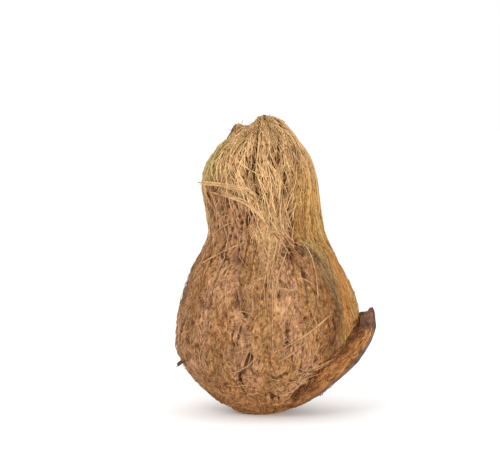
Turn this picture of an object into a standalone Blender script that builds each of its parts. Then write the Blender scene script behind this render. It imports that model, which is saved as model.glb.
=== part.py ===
"""A semi-husked coconut: the round nut in its coat of coir, the tuft of husk left over its eyes, and one
thick tongue of husk that still clings to its lower right side. It grew as one piece, so it is one solid.

Frame: metres, +Z up along the fruit's axis, -Y is the front, and the origin is the middle of the small
flat spot that the nut rests on."""

import math

import bmesh
import bpy
from mathutils import Vector

# Driving sizes, in metres
HEIGHT = 0.185
NUT_WIDTH = 0.1135
NUT_DEPTH = 0.109
NECK_WIDTH = 0.0725
NECK_DEPTH = 0.064
REST_RADIUS = 0.012

# Fineness of the body's mesh
MERIDIANS = 56
RINGS = 60

# The body, station by station up the axis. Each row is the height as a share of HEIGHT, the section's
# middle in x as a share of NUT_WIDTH, and its width and depth as shares of the nut's (below the neck) ...
NUT_STATIONS = (
    (0.0135, -0.002, 0.300, 0.310),
    (0.0500, 0.011, 0.525, 0.535),
    (0.1135, 0.021, 0.765, 0.770),
    (0.1950, 0.023, 0.942, 0.940),
    (0.2970, 0.042, 1.000, 1.000),
    (0.3950, 0.046, 0.943, 0.950),
    (0.4760, 0.036, 0.836, 0.835),
    (0.5400, 0.036, 0.725, 0.715),
)
# ... or of the neck's (from the waist up).
NECK_STATIONS = (
    (0.5950, 0.036, 0.992, 1.010),
    (0.6550, 0.026, 0.968, 0.970),
    (0.7200, 0.011, 0.974, 0.985),
    (0.8000, 0.000, 0.955, 1.000),
    (0.8580, 0.000, 0.860, 0.930),
    (0.9050, 0.004, 0.680, 0.790),
    (0.9380, 0.006, 0.470, 0.590),
)
TOP_SHARE = 0.952

# The husk has three ridges; the front one runs down the middle of the view
RIDGES = 3
RIDGE_SWELL = 0.018

# Torn clumps that stand up round the top of the tuft: x, y, how far each one rises, and its spread
TUFT_CLUMPS = (
    (0.0015, -0.0050, 0.0082, 0.0060),
    (0.0120, -0.0010, 0.0074, 0.0055),
    (-0.0138, -0.0020, 0.0065, 0.0036),
    (-0.0265, 0.0000, 0.0030, 0.0040),
    (0.0010, 0.0150, 0.0050, 0.0070),
    (-0.0150, 0.0170, 0.0030, 0.0060),
    (0.0190, 0.0140, 0.0030, 0.0050),
)
CLUMP_START = 0.80

# The tongue of husk: where its skin side runs from the base to the tip, in x and z, then its middle in y,
# its half width across and its thickness. It follows the nut round with a radius of TONGUE_ROUND.
TONGUE_STATIONS = (
    (0.0100, 0.0070, -0.0020, 0.0120, 0.0060),
    (0.0245, 0.0056, -0.0030, 0.0175, 0.0080),
    (0.0402, 0.0144, -0.0050, 0.0240, 0.0110),
    (0.0537, 0.0250, -0.0060, 0.0280, 0.0140),
    (0.0625, 0.0345, -0.0050, 0.0265, 0.0145),
    (0.0678, 0.0430, -0.0035, 0.0215, 0.0130),
    (0.0716, 0.0530, -0.0020, 0.0150, 0.0100),
    (0.0704, 0.0645, -0.0010, 0.0085, 0.0080),
)
TONGUE_ALONG = 18
TONGUE_ACROSS = 10
TONGUE_ROUND = 0.050

HUSK_COLOUR = (0.47, 0.27, 0.13, 1.0)
HUSK_ROUGHNESS = 0.9


def clear_scene():
    for obj in list(bpy.data.objects):
        bpy.data.objects.remove(obj)


def collection_of(name):
    made = bpy.data.collections.new(name)
    bpy.context.scene.collection.children.link(made)
    return made


def husk_material():
    material = bpy.data.materials.new("coir_husk")
    material.use_nodes = True
    shader = material.node_tree.nodes["Principled BSDF"]
    shader.inputs["Base Color"].default_value = HUSK_COLOUR
    shader.inputs["Roughness"].default_value = HUSK_ROUGHNESS
    shader.inputs["Metallic"].default_value = 0.0
    return material


def body_sections():
    """(height, middle x, half width, half depth) up the axis, from the flat spot to the crown, in metres."""
    rest = (0.0, 0.0, REST_RADIUS, REST_RADIUS)
    nut = [
        (z * HEIGHT, x * NUT_WIDTH, w * NUT_WIDTH / 2, d * NUT_DEPTH / 2)
        for z, x, w, d in NUT_STATIONS
    ]
    neck = [
        (z * HEIGHT, x * NUT_WIDTH, w * NECK_WIDTH / 2, d * NECK_DEPTH / 2)
        for z, x, w, d in NECK_STATIONS
    ]
    crown = (TOP_SHARE * HEIGHT, neck[-1][1], 0.0, 0.0)
    return [rest, *nut, *neck, crown]


def smooth_between(rows, share):
    """A row read from the Catmull-Rom curve through rows, at a share from 0 to 1 of the way along them."""
    place = share * (len(rows) - 1)
    i = min(int(place), len(rows) - 2)
    t = place - i
    before, start, end, after = (
        Vector(rows[max(0, min(len(rows) - 1, k))]) for k in (i - 1, i, i + 1, i + 2)
    )
    return 0.5 * (
        2 * start
        + (end - before) * t
        + (2 * before - 5 * start + 4 * end - after) * t**2
        + (3 * start - before - 3 * end + after) * t**3
    )


def ridge_swell(angle):
    """How much further out the surface is at this angle round the axis: one ridge faces the front."""
    return 1 + RIDGE_SWELL * math.cos(RIDGES * (angle + math.pi / 2))


def clump_rise(x, y, height):
    """How far the torn clumps of the tuft lift the surface here. They fade in above CLUMP_START."""
    fade = min(1.0, max(0.0, (height / HEIGHT - CLUMP_START) / (TOP_SHARE - CLUMP_START)))
    rise = sum(
        h * math.exp(-((x - cx) ** 2 + (y - cy) ** 2) / (2 * spread**2))
        for cx, cy, h, spread in TUFT_CLUMPS
    )
    return fade * rise


def make_body():
    """A ball of rings and meridians, each ring moved to its section of the fruit."""
    mesh = bpy.data.meshes.new("coconut")
    bm = bmesh.new()
    bmesh.ops.create_uvsphere(bm, u_segments=MERIDIANS, v_segments=RINGS, radius=1.0)
    sections = body_sections()
    for vert in bm.verts:
        ring = round(math.acos(max(-1.0, min(1.0, -vert.co.z))) / math.pi * RINGS)
        if ring == 0:
            vert.co = (0.0, 0.0, 0.0)
            continue
        angle = math.atan2(vert.co.y, vert.co.x)
        height, middle, half_width, half_depth = smooth_between(sections, (ring - 1) / (RINGS - 1))
        swell = ridge_swell(angle) if ring > 1 else 1.0
        x = middle + half_width * swell * math.cos(angle)
        y = half_depth * swell * math.sin(angle)
        z = max(0.0, height) if ring > 1 else 0.0
        vert.co = (x, y, z + clump_rise(x, y, z))
    bm.to_mesh(mesh)
    bm.free()
    body = bpy.data.objects.new("coconut", mesh)
    mesh.shade_smooth()
    return body


def make_tongue():
    """A strip of husk on its skin side, thickened inwards and rounded, which curls away from the nut."""
    bpy.ops.mesh.primitive_grid_add(x_subdivisions=TONGUE_ALONG, y_subdivisions=TONGUE_ACROSS, size=2.0)
    tongue = bpy.context.active_object
    tongue.name = "husk_tongue"
    thickness = tongue.vertex_groups.new(name="thickness")
    most = max(row[-1] for row in TONGUE_STATIONS)
    for vert in tongue.data.vertices:
        x, z, middle, half_width, thick = smooth_between(TONGUE_STATIONS, (vert.co.x + 1) / 2)
        y = middle + half_width * vert.co.y
        thickness.add([vert.index], thick / most, "REPLACE")
        vert.co = (x - y**2 / (2 * TONGUE_ROUND), y, z)
    solidify = tongue.modifiers.new("Husk thickness", "SOLIDIFY")
    solidify.thickness = most
    solidify.offset = 1.0
    solidify.vertex_group = thickness.name
    round_off = tongue.modifiers.new("Round", "SUBSURF")
    round_off.levels = round_off.render_levels = 1
    tongue.hide_render = True
    tongue.display_type = "WIRE"
    return tongue


def main():
    clear_scene()
    parts = collection_of("coconut")
    helpers = collection_of("helpers")
    tongue = make_tongue()
    for owner in list(tongue.users_collection):
        owner.objects.unlink(tongue)
    helpers.objects.link(tongue)
    body = make_body()
    parts.objects.link(body)
    body.data.materials.append(husk_material())
    union = body.modifiers.new("Grown tongue", "BOOLEAN")
    union.operation = "UNION"
    union.object = tongue


main()
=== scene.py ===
import math

import bpy
import numpy as np
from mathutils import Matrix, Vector
from mathutils.bvhtree import BVHTree


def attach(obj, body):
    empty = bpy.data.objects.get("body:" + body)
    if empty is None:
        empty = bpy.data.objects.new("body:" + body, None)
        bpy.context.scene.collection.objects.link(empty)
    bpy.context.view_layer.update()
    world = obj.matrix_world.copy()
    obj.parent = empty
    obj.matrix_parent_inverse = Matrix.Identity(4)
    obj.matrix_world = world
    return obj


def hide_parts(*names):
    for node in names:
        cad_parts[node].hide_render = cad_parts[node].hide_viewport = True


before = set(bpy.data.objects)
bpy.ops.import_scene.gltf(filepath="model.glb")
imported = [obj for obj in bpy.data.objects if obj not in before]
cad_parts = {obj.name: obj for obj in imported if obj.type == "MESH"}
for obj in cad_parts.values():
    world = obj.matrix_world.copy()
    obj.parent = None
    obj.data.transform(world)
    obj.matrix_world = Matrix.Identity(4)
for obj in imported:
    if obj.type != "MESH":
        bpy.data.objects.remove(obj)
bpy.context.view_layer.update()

# ---- The coat -------------------------------------------------------------------------------------
# The nut is still in the inner part of its husk: a felt of brown fibres bound by dry pith, combed into
# furrows when the outer husk was pulled off it, with pits where whole clumps came away. It is the
# ground that every loose fibre lies on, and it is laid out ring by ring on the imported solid.

MM = 0.001
COLUMNS = 620
ROWS = 440
HEART_LOW = 45 * MM
HEART_HIGH = 150 * MM
HEART_LEAN = 4.5 * MM
SHARE_LOW = 0.345
SHARE_HIGH = 0.785
FRONT = 0.75
COAT_INSET = 0.8 * MM
CROWN_INSET = 0.5 * MM
PITS = 5000


def smooth(low, high, value):
    """0 below low and 1 above high, eased between them."""
    part = np.clip((value - low) / (high - low), 0.0, 1.0)
    return part * part * (3 - 2 * part)


def bell(middle, spread, value):
    return np.exp(-(((value - middle) / spread) ** 2))


def off_turn(turn, middle):
    """How far a turn is from another, in turns, the short way round."""
    return (turn - middle + 0.5) % 1.0 - 0.5


def wavy(seed, around, along):
    """A smooth random sheet from -1 to 1, read at turns round the fruit and shares of the way up it."""
    cells = np.random.default_rng(seed).uniform(-1, 1, (along + 2, around))

    def read(turn, share):
        u = np.mod(turn, 1.0) * around
        v = np.clip(share, 0.0, 1.0) * along
        i = np.floor(u).astype(int)
        j = np.floor(v).astype(int)
        fu = u - i
        fv = v - j
        fu = fu * fu * (3 - 2 * fu)
        fv = fv * fv * (3 - 2 * fv)
        left = cells[j, i % around] * (1 - fv) + cells[j + 1, i % around] * fv
        right = cells[j, (i + 1) % around] * (1 - fv) + cells[j + 1, (i + 1) % around] * fv
        return left * (1 - fu) + right * fu

    return read


class Ground:
    """Rings of points round a closed shape, which strands can be laid on by turn and share."""

    def __init__(self, points):
        self.points = points
        along = np.gradient(points, axis=0)
        across = np.roll(points, -1, axis=1) - np.roll(points, 1, axis=1)
        normals = np.cross(across, along)
        normals /= np.maximum(np.linalg.norm(normals, axis=2, keepdims=True), 1e-12)
        self.normals = normals
        rows, columns = points.shape[:2]
        self.wide = np.linalg.norm(across, axis=2).mean(axis=1) * columns / 2
        self.tall = np.linalg.norm(along, axis=2).mean(axis=1) * rows

    def read(self, grid, turn, share):
        rows, columns = self.points.shape[:2]
        u = np.mod(turn, 1.0) * columns
        v = np.clip(share * rows - 0.5, 0.0, rows - 1.001)
        i = np.floor(u).astype(int) % columns
        j = np.floor(v).astype(int)
        fu = u - np.floor(u)
        fv = v - j
        if grid.ndim == 3:
            fu = fu[..., None]
            fv = fv[..., None]
        low = grid[j, i] * (1 - fu) + grid[j, (i + 1) % columns] * fu
        high = grid[j + 1, i] * (1 - fu) + grid[j + 1, (i + 1) % columns] * fu
        return low * (1 - fv) + high * fv

    def at(self, turn, share, lift):
        normal = self.read(self.normals, turn, share)
        normal /= np.maximum(np.linalg.norm(normal, axis=-1, keepdims=True), 1e-9)
        return self.read(self.points, turn, share) + normal * lift[..., None], normal

    def row_scale(self, share):
        rows = self.points.shape[0]
        row = np.clip(share * rows - 0.5, 0, rows - 1)
        places = np.arange(rows)
        return np.interp(row, places, self.wide), np.interp(row, places, self.tall)

    def scatter(self, rng, count, share_from=0.0, share_to=1.0):
        """Turns and shares that are evenly spread over the surface."""
        rows = self.points.shape[0]
        shares = (np.arange(rows) + 0.5) / rows
        area = self.wide * self.tall * (shares >= share_from) * (shares <= share_to)
        total = np.cumsum(area)
        picked = np.interp(rng.uniform(0, total[-1], count), total, shares)
        return rng.uniform(0, 1, count), picked


def cast_coat():
    """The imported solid's surface, as rings of points seen from a heart line inside it."""
    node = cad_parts["coconut"].data
    solid = BVHTree.FromPolygons(
        [v.co for v in node.vertices], [tuple(p.vertices) for p in node.polygons]
    )
    shares = (np.arange(ROWS) + 0.5) / ROWS
    lean = np.where(shares < SHARE_LOW, shares / SHARE_LOW - 1, 0.0)
    lean = np.where(shares > SHARE_HIGH, (shares - SHARE_HIGH) / (1 - SHARE_HIGH), lean) * math.pi / 2
    rise = np.clip((shares - SHARE_LOW) / (SHARE_HIGH - SHARE_LOW), 0, 1)
    heart = np.stack(
        [HEART_LEAN * (1 - rise), 0 * rise, HEART_LOW + rise * (HEART_HIGH - HEART_LOW)], axis=1
    )
    angle = np.arange(COLUMNS) / COLUMNS * 2 * math.pi
    way = np.stack(
        [
            np.cos(lean)[:, None] * np.cos(angle),
            np.cos(lean)[:, None] * np.sin(angle),
            np.broadcast_to(np.sin(lean)[:, None], (ROWS, COLUMNS)),
        ],
        axis=2,
    )
    reach = np.empty((ROWS, COLUMNS))
    for row in range(ROWS):
        start = Vector(heart[row])
        for column in range(COLUMNS):
            reach[row, column] = solid.ray_cast(start, Vector(way[row, column]))[3]
    # The nut's own surface runs on under the tongue of husk: it is bridged from side to side there.
    turn = off_turn(np.arange(COLUMNS) / COLUMNS, 0.0)
    under = np.abs(turn) < 0.16
    covered = np.where((shares > 0.05) & (shares < 0.437))[0]
    side = 0.5 + turn / 0.32
    top = reach[covered[-1] + 1]
    ends = np.where(under)[0]
    first = ends[np.argmin(turn[ends])]
    last = ends[np.argmax(turn[ends])]
    bulge = top - (top[first] * (1 - side) + top[last] * side)
    for row in covered:
        flat = reach[row, first] * (1 - side) + reach[row, last] * side
        fade = smooth(0.05, 0.2, shares[row])
        reach[row] = np.where(under, flat + bulge * fade, reach[row])
    hidden = np.zeros((ROWS, COLUMNS), bool)
    hidden[np.ix_(covered, ends)] = True
    for _ in range(60):
        mean = (np.roll(reach, 1, 0) + np.roll(reach, -1, 0) + np.roll(reach, 1, 1) + np.roll(reach, -1, 1)) / 4
        reach = np.where(hidden, mean, reach)
    return heart[:, None, :] + reach[:, :, None] * way


bare = Ground(cast_coat())
turn_grid, share_grid = np.meshgrid(
    np.arange(COLUMNS) / COLUMNS, (np.arange(ROWS) + 0.5) / ROWS
)
height_grid = bare.points[:, :, 2]
height_by_share = height_grid.mean(axis=1)


def height_at(share):
    """Rough height above the ground of a share of the way up the coat."""
    return np.interp(share, share_grid[:, 0], height_by_share)


# Where the kinds of husk are: the tuft is straw, one smooth strip on the right is ochre with a greenish
# rim, a patch of old skin on the left shoulder is greenish, worn bands are ash, and hollows and the crevice get umber
# as painted shade.
SEAM_TURN = FRONT + 0.018
STRIP_LEFT = -0.105
STRIP_RIGHT = 0.085
BACK_STRIP_TURN = 0.30

seam_drift = wavy(11, 6, 14)
patches = wavy(12, 14, 16)
patches_small = wavy(13, 60, 50)
columns_of_pith = wavy(14, 34, 7)


def front_place(x, z):
    """Turn and share of the coat's place seen from the front at x and z, in millimetres."""
    gap = (bare.points[:, :, 0] - x * MM) ** 2 + (bare.points[:, :, 2] - z * MM) ** 2
    gap = np.where(bare.points[:, :, 1] < 0.004, gap, 1.0)
    row, column = np.unravel_index(np.argmin(gap), gap.shape)
    return turn_grid[row, column], share_grid[row, column]


def gap_to_line(x, z, line):
    """Distance in metres from places to a bent line, its corners' x and z given in millimetres."""
    best = np.full(np.shape(x), 1.0)
    for (start_x, start_z), (end_x, end_z) in zip(line[:-1], line[1:]):
        run_x = (end_x - start_x) * MM
        run_z = (end_z - start_z) * MM
        part = ((x - start_x * MM) * run_x + (z - start_z * MM) * run_z) / (run_x**2 + run_z**2)
        part = np.clip(part, 0, 1)
        best = np.minimum(best, np.hypot(x - start_x * MM - part * run_x, z - start_z * MM - part * run_z))
    return best


# Lines seen from the front, as x and z in millimetres: the worn edge of the smooth strip, the pale rim
# and the orange middle beside it, and the crevice between the nut and the tongue
WORN_EDGE = ((26.0, 106.0), (31.0, 102.4), (38.6, 93.5), (44.0, 82.5), (46.9, 72.1), (47.6, 58.3), (46.1, 48.0), (44.0, 38.0))
PALE_RIM = ((27.0, 109.0), (33.0, 103.5), (39.5, 97.5), (43.5, 91.5), (47.0, 84.0))
ORANGE_MIDDLE = ((42.5, 97.0), (48.5, 86.0), (51.6, 75.6), (53.4, 65.0), (53.9, 54.0))
CREVICE = ((63.0, 54.0), (58.5, 45.6), (52.0, 39.8), (44.6, 34.7), (38.4, 26.5), (31.0, 18.5), (24.0, 13.0))

# Hollows seen from the front: x, z, half width, half length, slant and depth in millimetres, and darkness, which is
# painted shade in the hollow
HOLLOWS = (
    (-42.0, 58.3, 1.5, 2.6, -0.3, 2.2, 1.0),
    (-44.6, 49.0, 1.4, 2.4, 0.2, 2.0, 1.0),
    (-11.3, 21.0, 1.0, 8.5, 0.0, 2.6, 0.9),
    (-14.0, 34.4, 1.0, 2.2, 0.1, 2.0, 0.8),
    (-18.0, 42.0, 0.9, 2.4, 0.0, 1.6, 0.7),
    (-6.6, 41.5, 1.0, 3.0, 0.1, 2.0, 0.8),
    (5.0, 52.7, 1.1, 1.3, 0.0, 1.8, 0.8),
    (16.4, 54.0, 0.9, 9.0, 0.05, 1.9, 0.7),
    (13.0, 26.7, 1.2, 1.8, -0.6, 1.9, 0.8),
    (30.7, 31.6, 1.2, 2.2, -0.7, 2.2, 1.0),
    (31.6, 24.8, 1.5, 2.8, -0.9, 2.4, 1.0),
    (36.0, 20.5, 1.6, 3.2, -1.0, 2.6, 1.0),
    (30.7, 16.7, 1.5, 3.0, -1.1, 2.4, 1.0),
    (44.0, 34.1, 1.4, 2.6, -0.8, 2.4, 1.0),
    (27.3, 26.7, 1.1, 1.8, -0.5, 1.8, 0.9),
    (19.2, 23.6, 1.1, 1.6, -0.4, 1.8, 0.8),
    (47.0, 37.5, 1.6, 3.4, -0.9, 2.8, 1.0),
    (50.2, 40.0, 1.8, 3.6, -0.8, 3.0, 1.0),
    (54.6, 43.4, 2.0, 3.4, -0.6, 3.2, 1.0),
    (58.0, 48.5, 1.5, 4.0, -0.5, 2.6, 1.0),
    (-10.0, 66.5, 1.6, 2.6, -0.5, 2.0, 0.9),
    (-15.0, 76.0, 3.2, 5.5, -0.2, 1.9, 0.55),
    (-11.0, 72.0, 4.0, 8.0, -0.3, 1.4, 0.45),
    (11.5, 78.0, 2.4, 2.8, 0.0, 1.5, 0.5),
    (-15.0, 99.0, 8.5, 6.0, 0.9, 1.2, 0.45),
    (15.5, 102.0, 6.5, 6.5, -0.3, 1.5, 0.6),
    (3.5, 95.0, 1.2, 3.4, 0.1, 1.8, 0.7),
    (-7.0, 152.0, 1.1, 6.0, 0.35, 1.7, 0.6),
    (4.0, 136.0, 1.6, 4.5, 0.3, 2.4, 0.8),
    (-3.0, 134.5, 2.0, 2.6, 0.9, 2.6, 0.9),
    (14.5, 152.0, 1.2, 6.0, 0.05, 2.6, 0.8),
    (22.5, 156.0, 1.1, 5.0, 0.0, 2.4, 0.8),
    (-21.0, 155.0, 1.2, 4.5, 0.0, 2.2, 0.7),
    (-8.0, 120.0, 1.0, 5.0, 0.1, 2.2, 0.8),
    (20.0, 118.0, 4.0, 5.0, 0.1, 1.6, 0.6),
    (-8.5, 171.0, 1.6, 6.0, 0.2, 2.6, 0.7),
    (-21.5, 163.0, 1.3, 5.0, -0.2, 2.6, 0.7),
)


def seam(turn, share):
    """The pale parting where the tuft's fibres come together and run down the front of the nut."""
    z = height_at(share)
    off = off_turn(turn, SEAM_TURN + 0.006 * seam_drift(share * 0 + 0.3, share))
    spread = 0.016 + 0.022 * smooth(85 * MM, 110 * MM, z) + 0.05 * smooth(115 * MM, 150 * MM, z)
    return bell(0.0, spread, off) * smooth(35 * MM, 80 * MM, z)


def strip_depth(turn, share):
    """How far inside the smooth strip's left edge a place is, in turns."""
    z = height_at(share)
    edge = STRIP_LEFT - 0.045 * smooth(80 * MM, 115 * MM, z) + 0.008 * patches_small(turn * 0.2, share)
    return off_turn(turn, 0.0) - edge


def strip(turn, share):
    """The smooth strip of husk down the right side, from the neck to the tongue."""
    z = height_at(share)
    inside = smooth(-0.003, 0.005, strip_depth(turn, share))
    inside *= 1 - smooth(STRIP_RIGHT, STRIP_RIGHT + 0.01, off_turn(turn, 0.0))
    return inside * smooth(28 * MM, 40 * MM, z) * (1 - smooth(128 * MM, 170 * MM, z))


def back_strip(turn, share):
    """A narrower, broken strip of the same husk left standing on the back."""
    z = height_at(share)
    off = off_turn(turn, BACK_STRIP_TURN + 0.02 * seam_drift(turn * 0 + 0.8, share))
    ends = smooth(12 * MM, 26 * MM, z) * (1 - smooth(84 * MM, 104 * MM, z + 6 * MM * patches(turn, share)))
    return smooth(0.052, 0.040, np.abs(off + 0.010 * patches_small(turn * 0.3, share))) * ends


def zones(turn, share):
    """How much of each kind of husk there is at a place, with the painted shadow of the crevice carried in the umber.
    """
    z = height_at(share)
    left = off_turn(turn, 0.5)
    rough = patches(turn, share)
    fine = patches_small(turn, share)
    off_seam = off_turn(turn, SEAM_TURN)
    low_left = smooth(0.02, 0.06, -off_seam) * (1 - smooth(0.20, 0.30, -off_seam)) * (1 - smooth(126 * MM, 134 * MM, z + 120 * MM * (off_seam + 0.06)))
    x_here, y_here, z_here = np.moveaxis(bare.read(bare.points, turn, share), -1, 0)
    in_front = smooth(-8 * MM, -16 * MM, y_here)
    straw = smooth(100 * MM, 126 * MM, z + 6 * MM * rough) * (1 - 0.85 * low_left) + 0.3 * seam(turn, share)
    straw += 0.2 * smooth(0.15, 0.8, rough)
    band = np.maximum(strip(turn, share), back_strip(turn, share))
    pale = in_front * bell(0, 1.5 * MM, gap_to_line(x_here, z_here, PALE_RIM))
    orange = bell(0, 3.4 * MM, gap_to_line(x_here, z_here, ORANGE_MIDDLE))
    worn_half = (2.9 + 1.2 * bell(54 * MM, 11 * MM, z_here)) * MM
    worn = in_front * bell(0, worn_half, gap_to_line(x_here, z_here, WORN_EDGE) + 0.5 * MM * fine)
    # Painted shadow: the crevice between the nut and the tongue is darkened with umber.
    crevice_shadow = smooth(7.5 * MM, 4.0 * MM, gap_to_line(x_here, z_here, CREVICE) + 1.5 * MM * fine)
    crevice_shadow = crevice_shadow * (np.abs(y_here) < 40 * MM)
    ochre = band * (0.85 + 0.15 * fine) * (1 - 0.7 * pale)
    straw += 0.5 * pale
    ash = 0.85 * worn * (1 - 0.6 * pale)
    ash += 0.55 * bell(0.006, 0.03, left) * smooth(62 * MM, 74 * MM, z) * (1 - smooth(94 * MM, 106 * MM, z))
    ash += 0.12 * smooth(0.1, 0.8, -rough) * (1 - smooth(110 * MM, 130 * MM, z)) * (1 - band)
    moss = bell(0.04, 0.05, left) * smooth(138 * MM, 148 * MM, z) * (1 - smooth(166 * MM, 174 * MM, z))
    moss += 0.5 * pale + strip(turn, share) * (0.42 + 0.3 * fine) * (1 - 0.85 * orange) * (1 - worn)
    moss += 0.15 * back_strip(turn, share)
    on_nut = (1 - smooth(98 * MM, 116 * MM, z)) * (1 - band)
    bare_felt = smooth(0.0, 0.5, -columns_of_pith(turn + 0.004 * fine, share) - 0.2 * fine) * on_nut
    base = (1 - smooth(6 * MM, 30 * MM, z + 8 * MM * rough)) * on_nut
    beside = in_front * bell(5 * MM, 4.5 * MM, gap_to_line(x_here, z_here, WORN_EDGE)) * (1 - band)
    ochre += 0.38 * bare_felt + 0.45 * base + 0.25 * beside
    moss += 0.18 * bare_felt + 0.1 * beside
    umber = 0.30 * smooth(0.35, 0.9, -fine) + 0.9 * crevice_shadow + 0.24 * bare_felt + 0.3 * beside
    umber += 0.62 * worn * bell(54 * MM, 11 * MM, z_here)
    return {
        "straw": np.clip(straw, 0, 1),
        "ochre": np.clip(ochre, 0, 1),
        "ash": np.clip(ash, 0, 1),
        "moss": np.clip(moss, 0, 1),
        "umber": np.clip(umber, 0, 1),
    }


def dent(sheet, turn, share, half, length, slant, strength):
    """Presses one oval hollow into a sheet of depths, longer along the fibres than across them."""
    wide, tall = bare.row_scale(share)
    reach = length * 2.5
    rows = np.where(np.abs(share_grid[:, 0] - share) * tall < reach)[0]
    gap = off_turn(turn_grid[0], turn) * max(wide, 1 * MM)
    columns = np.where(np.abs(gap) < reach)[0]
    x = gap[columns][None, :]
    y = ((share_grid[rows, 0] - share) * tall)[:, None]
    along = y * math.cos(slant) + x * math.sin(slant)
    across = x * math.cos(slant) - y * math.sin(slant)
    hole = strength * np.exp(-((along / length) ** 2) - (across / half) ** 2)
    area = np.ix_(rows, columns)
    sheet[area] = np.maximum(sheet[area], hole)


def pit_grid():
    """How deep in a pit each point of the coat is, from 0 to 1. Pits are longer than they are wide."""
    rng = np.random.default_rng(21)
    turns, shares = bare.scatter(rng, PITS)
    deep = np.zeros((ROWS, COLUMNS))
    for turn, share in zip(turns, shares):
        half = min(0.36 + rng.exponential(0.13), 0.85) * MM
        length = half * rng.uniform(1.1, 3.0)
        slant = rng.normal(0, 0.35)
        strength = rng.uniform(0.4, 1.0)
        if height_at(share) > 104 * MM:
            half, length, strength = 1.3 * half, 1.7 * length, 1.0
            if rng.uniform() < 0.15:
                continue
        if height_at(share) > 166 * MM:
            continue
        if strip(turn, share) > 0.3 and rng.uniform() < 0.85:
            continue
        dent(deep, turn, share, half, length, slant, strength)
    return deep


def hollow_grids():
    """Depth in metres and darkness, as painted shade, of the listed hollows."""
    deep = np.zeros((ROWS, COLUMNS))
    dark = np.zeros((ROWS, COLUMNS))
    for x, z, half, length, slant, depth, darkness in HOLLOWS:
        turn, share = front_place(x, z)
        dent(deep, turn, share, half * MM, length * MM, slant, depth * MM)
        dent(dark, turn, share, half * MM, length * MM, slant, darkness)
    ragged = np.clip(0.85 + 0.7 * grain(turn_grid, share_grid) + 0.4 * grain_small(turn_grid, share_grid), 0.1, 1.2)
    return deep * ragged, np.clip(0.85 * dark * ragged, 0, 1)


furrow_wide = wavy(31, 46, 9)
furrow_mid = wavy(32, 92, 22)
furrow_fine = wavy(33, 170, 60)
grain = wavy(39, 240, 130)
grain_small = wavy(40, 300, 200)
lumps = wavy(34, 22, 20)
clumps = wavy(35, 30, 7)
nut_cleft = wavy(36, 64, 13)
tuft_cleft = wavy(37, 36, 9)
cleft_gate = wavy(38, 26, 16)


def clefts(turn, share):
    """Narrow gaps between columns of felt and ropes of the tuft: 1 along their middles, 0 off them."""
    z = height_at(share)
    tuft = smooth(105 * MM, 125 * MM, z)
    bent = turn + 0.012 * seam_drift(turn, share)
    on_nut = 1 - smooth(0.02, 0.20, np.abs(nut_cleft(bent, share)))
    on_tuft = 1 - smooth(0.03, 0.26, np.abs(tuft_cleft(bent, share)))
    gate = smooth(-0.25, 0.35, cleft_gate(turn, share))
    return (on_nut * (1 - tuft) * gate + on_tuft * tuft * (0.45 + 0.55 * gate)) * (1 - 0.8 * strip(turn, share))


def furrows(turn, share):
    """The relief of the coat in metres: combed furrows, deeper between the clumps of the tuft."""
    z = height_at(share)
    tuft = smooth(100 * MM, 135 * MM, z)
    smooth_strip = np.maximum(strip(turn, share), 0.8 * back_strip(turn, share))
    bent = turn + 0.012 * seam_drift(turn, share)
    relief = 0.45 * MM * lumps(turn, share) + 0.45 * MM * furrow_wide(bent, share)
    relief += 0.40 * MM * furrow_mid(bent, share) + 0.25 * MM * furrow_fine(bent, share)
    relief += (0.5 * grain(turn, share) + 0.3 * grain_small(turn, share)) * (1 - 0.7 * tuft) * MM
    relief = relief * (1 - 0.7 * smooth_strip) + tuft * 0.9 * MM * clumps(bent, share)
    relief += (0.3 - 0.6 * tuft) * MM * smooth_strip + 0.8 * MM * seam(turn, share)
    return relief


hollow_depth, hollow_painted_shade = hollow_grids()
gaps = np.maximum(pit_grid(), 0.95 * clefts(turn_grid, share_grid))
inset = COAT_INSET + CROWN_INSET * smooth(158 * MM, 176 * MM, height_grid)
off_left = off_turn(turn_grid, 0.5)
inset = inset - 1.3 * MM * bell(0, 0.06, off_left) * bell(141 * MM, 9 * MM, height_grid)
inset = inset + 1.0 * MM * bell(0, 0.09, off_left) * bell(162 * MM, 8 * MM, height_grid)
inset = inset + 2.2 * MM * bell(0, 0.11, off_left) * bell(173 * MM, 6 * MM, height_grid)
relief_grid = furrows(turn_grid, share_grid) - 0.7 * hollow_depth
flat_spot = smooth(0.0, 5 * MM, height_grid)
coat = Ground(bare.points + bare.normals * ((relief_grid - inset) * flat_spot)[:, :, None])
gap_depth = gaps * (1.7 * MM + 1.0 * MM * smooth(105 * MM, 130 * MM, height_grid)) + 0.5 * hollow_depth
coat_pitted = Ground(coat.points - coat.normals * (gap_depth * flat_spot)[:, :, None])
# From here the gaps also carry the hollows' painted shade, which darkens the felt and the strands over it.
gaps = np.maximum(gaps, hollow_painted_shade)


def mesh_of(name, verts, quads, tris, smooth_faces=True):
    """A mesh from arrays of points and of four and three sided faces."""
    mesh = bpy.data.meshes.new(name)
    mesh.vertices.add(len(verts))
    mesh.vertices.foreach_set("co", verts.astype(np.float32).ravel())
    loops = np.concatenate([quads.ravel(), tris.ravel()]).astype(np.int32)
    sizes = np.concatenate([np.full(len(quads), 4), np.full(len(tris), 3)])
    mesh.loops.add(len(loops))
    mesh.loops.foreach_set("vertex_index", loops)
    mesh.polygons.add(len(sizes))
    starts = np.concatenate([[0], np.cumsum(sizes)[:-1]])
    mesh.polygons.foreach_set("loop_start", starts.astype(np.int32))
    mesh.polygons.foreach_set("use_smooth", np.full(len(sizes), smooth_faces))
    mesh.update(calc_edges=True)
    obj = bpy.data.objects.new(name, mesh)
    bpy.context.scene.collection.objects.link(obj)
    return obj


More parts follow.
